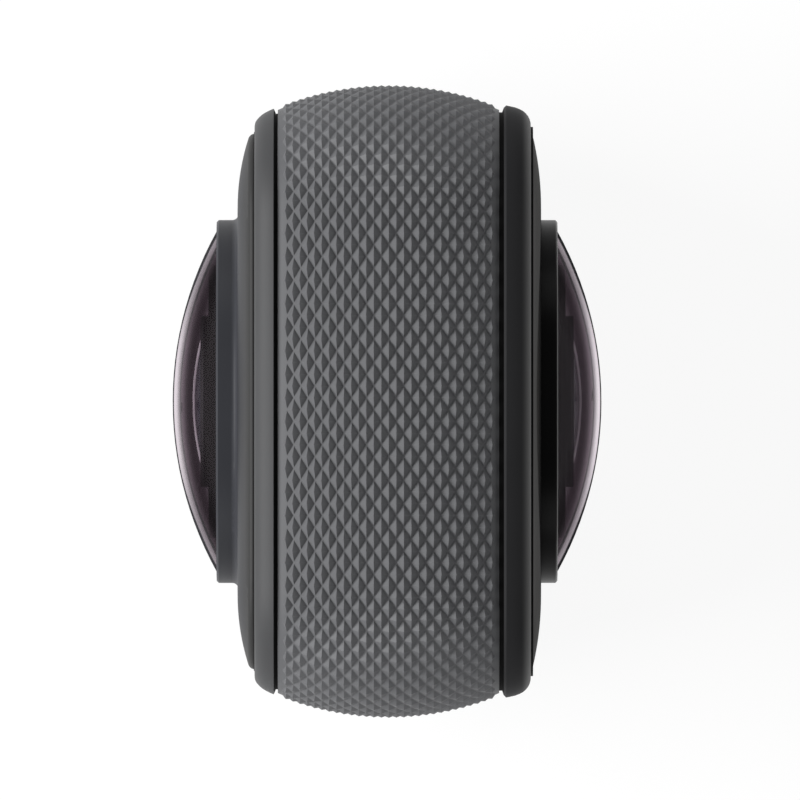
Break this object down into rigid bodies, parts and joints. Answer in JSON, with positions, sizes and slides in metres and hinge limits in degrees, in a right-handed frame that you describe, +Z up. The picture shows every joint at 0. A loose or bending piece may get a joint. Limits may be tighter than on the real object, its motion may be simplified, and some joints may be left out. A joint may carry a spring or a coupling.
{
  "type": "360 degree camera",
  "caption": "Upright pocket camera with a fisheye lens front and rear, a knurled grip band, a rear screen, a latched side battery, a hinged port door and a tripod socket.",
  "frame": {"origin": "mouth of the tripod socket, in the middle of the foot", "axes": "+Z up along the body, -Y out of the front lens, +Y out of the rear lens and screen, +X across the width towards the battery and port doors"},
  "size_m": [0.046, 0.0314, 0.113],
  "materials": {
    "cast_metal": "cast, dark",
    "grip": "pyramid knurl, semi-matte",
    "front_metal": "satin grey",
    "rear_metal": "satin dark grey",
    "front_cover": "satin",
    "rear_cover": "black glass",
    "front_ring": "satin",
    "rear_ring": "gloss",
    "dome_glass": "coated",
    "element_glass": "coated",
    "black_plastic": "matte black",
    "seal_rubber": "soft",
    "circuit_board": "solder mask",
    "steel": "plain",
    "foot_metal": "anodised",
    "thread_metal": "turned",
    "battery_plastic": "matte",
    "door_plastic": "satin",
    "button_plastic": "satin",
    "screen": "unlit display",
    "light_guide": "translucent",
    "ribbon_film": "polyimide"
  },
  "bodies": {
    "camera": {"chassis": "cast_metal", "grip_band": "grip", "front_frame": "front_metal", "rear_frame": "rear_metal", "front_panel": "front_cover", "rear_panel": "rear_cover", "base_plate": "foot_metal", "base_screws": "steel", "tripod_bush": "thread_metal", "front_lens_ring": "front_ring", "rear_lens_ring": "rear_ring", "front_lens_dome": "dome_glass", "rear_lens_dome": "dome_glass", "front_inner_element": "element_glass", "rear_inner_element": "element_glass", "front_lens_baffle": "black_plastic", "rear_lens_baffle": "black_plastic", "front_lens_barrel": "black_plastic", "rear_lens_barrel": "black_plastic", "front_lens_gasket": "seal_rubber", "rear_lens_gasket": "seal_rubber", "front_sensor_board": "circuit_board", "rear_sensor_board": "circuit_board", "lens_screws": "steel", "lens_cradle": "cast_metal", "frame_screws": "steel", "main_board": "circuit_board", "shield_can": "steel", "usb_port": "steel", "card_slot": "steel", "display_module": "screen", "display_ribbon": "ribbon_film", "front_sensor_ribbon": "ribbon_film", "rear_sensor_ribbon": "ribbon_film", "button_board": "circuit_board", "side_switch_board": "circuit_board", "speaker": "black_plastic", "speaker_mesh": "steel", "front_microphone": "steel", "rear_microphone": "steel", "front_indicator_light": "light_guide", "rear_indicator_light": "light_guide", "battery_contacts": "black_plastic", "usb_door_pin": "steel"},
    "usb_door": {"usb_door": "door_plastic", "usb_door_seal": "seal_rubber"},
    "battery": {"battery_pack": "battery_plastic", "battery_door": "door_plastic", "battery_seal": "seal_rubber"},
    "lower_latch": {"lower_battery_latch": "button_plastic"},
    "upper_latch": {"upper_battery_latch": "button_plastic"},
    "power_button": {"power_button": "button_plastic"},
    "quick_button": {"quick_button": "button_plastic"},
    "shutter_button": {"shutter_button": "button_plastic"},
    "lens_button": {"lens_button": "button_plastic"}
  },
  "joints": [
    {"name": "battery_slide", "type": "slide", "parent": "camera", "child": "battery", "axis": [1, 0, 0], "range_m": [0, 0.036]},
    {"name": "lower_latch_slide", "type": "slide", "parent": "battery", "child": "lower_latch", "axis": [0, 0, 1], "range_m": [0, 0.0018], "stiffness_N_per_m": 500},
    {"name": "upper_latch_slide", "type": "slide", "parent": "battery", "child": "upper_latch", "axis": [0, 0, -1], "range_m": [0, 0.0018], "stiffness_N_per_m": 500},
    {"name": "usb_door_hinge", "type": "hinge", "parent": "camera", "child": "usb_door", "pos_m": [0.0216, 0.00011, 0.0706], "axis": [0, -1, 0], "range_deg": [0, 90]},
    {"name": "power_press", "type": "slide", "parent": "camera", "child": "power_button", "axis": [1, 0, 0], "range_m": [0, 0.00035], "stiffness_N_per_m": 4000},
    {"name": "quick_press", "type": "slide", "parent": "camera", "child": "quick_button", "axis": [1, 0, 0], "range_m": [0, 0.00035], "stiffness_N_per_m": 4000},
    {"name": "shutter_press", "type": "slide", "parent": "camera", "child": "shutter_button", "axis": [0, -1, 0], "range_m": [0, 0.0003], "stiffness_N_per_m": 4000},
    {"name": "lens_press", "type": "slide", "parent": "camera", "child": "lens_button", "axis": [0, -1, 0], "range_m": [0, 0.0003], "stiffness_N_per_m": 4000}
  ]
}
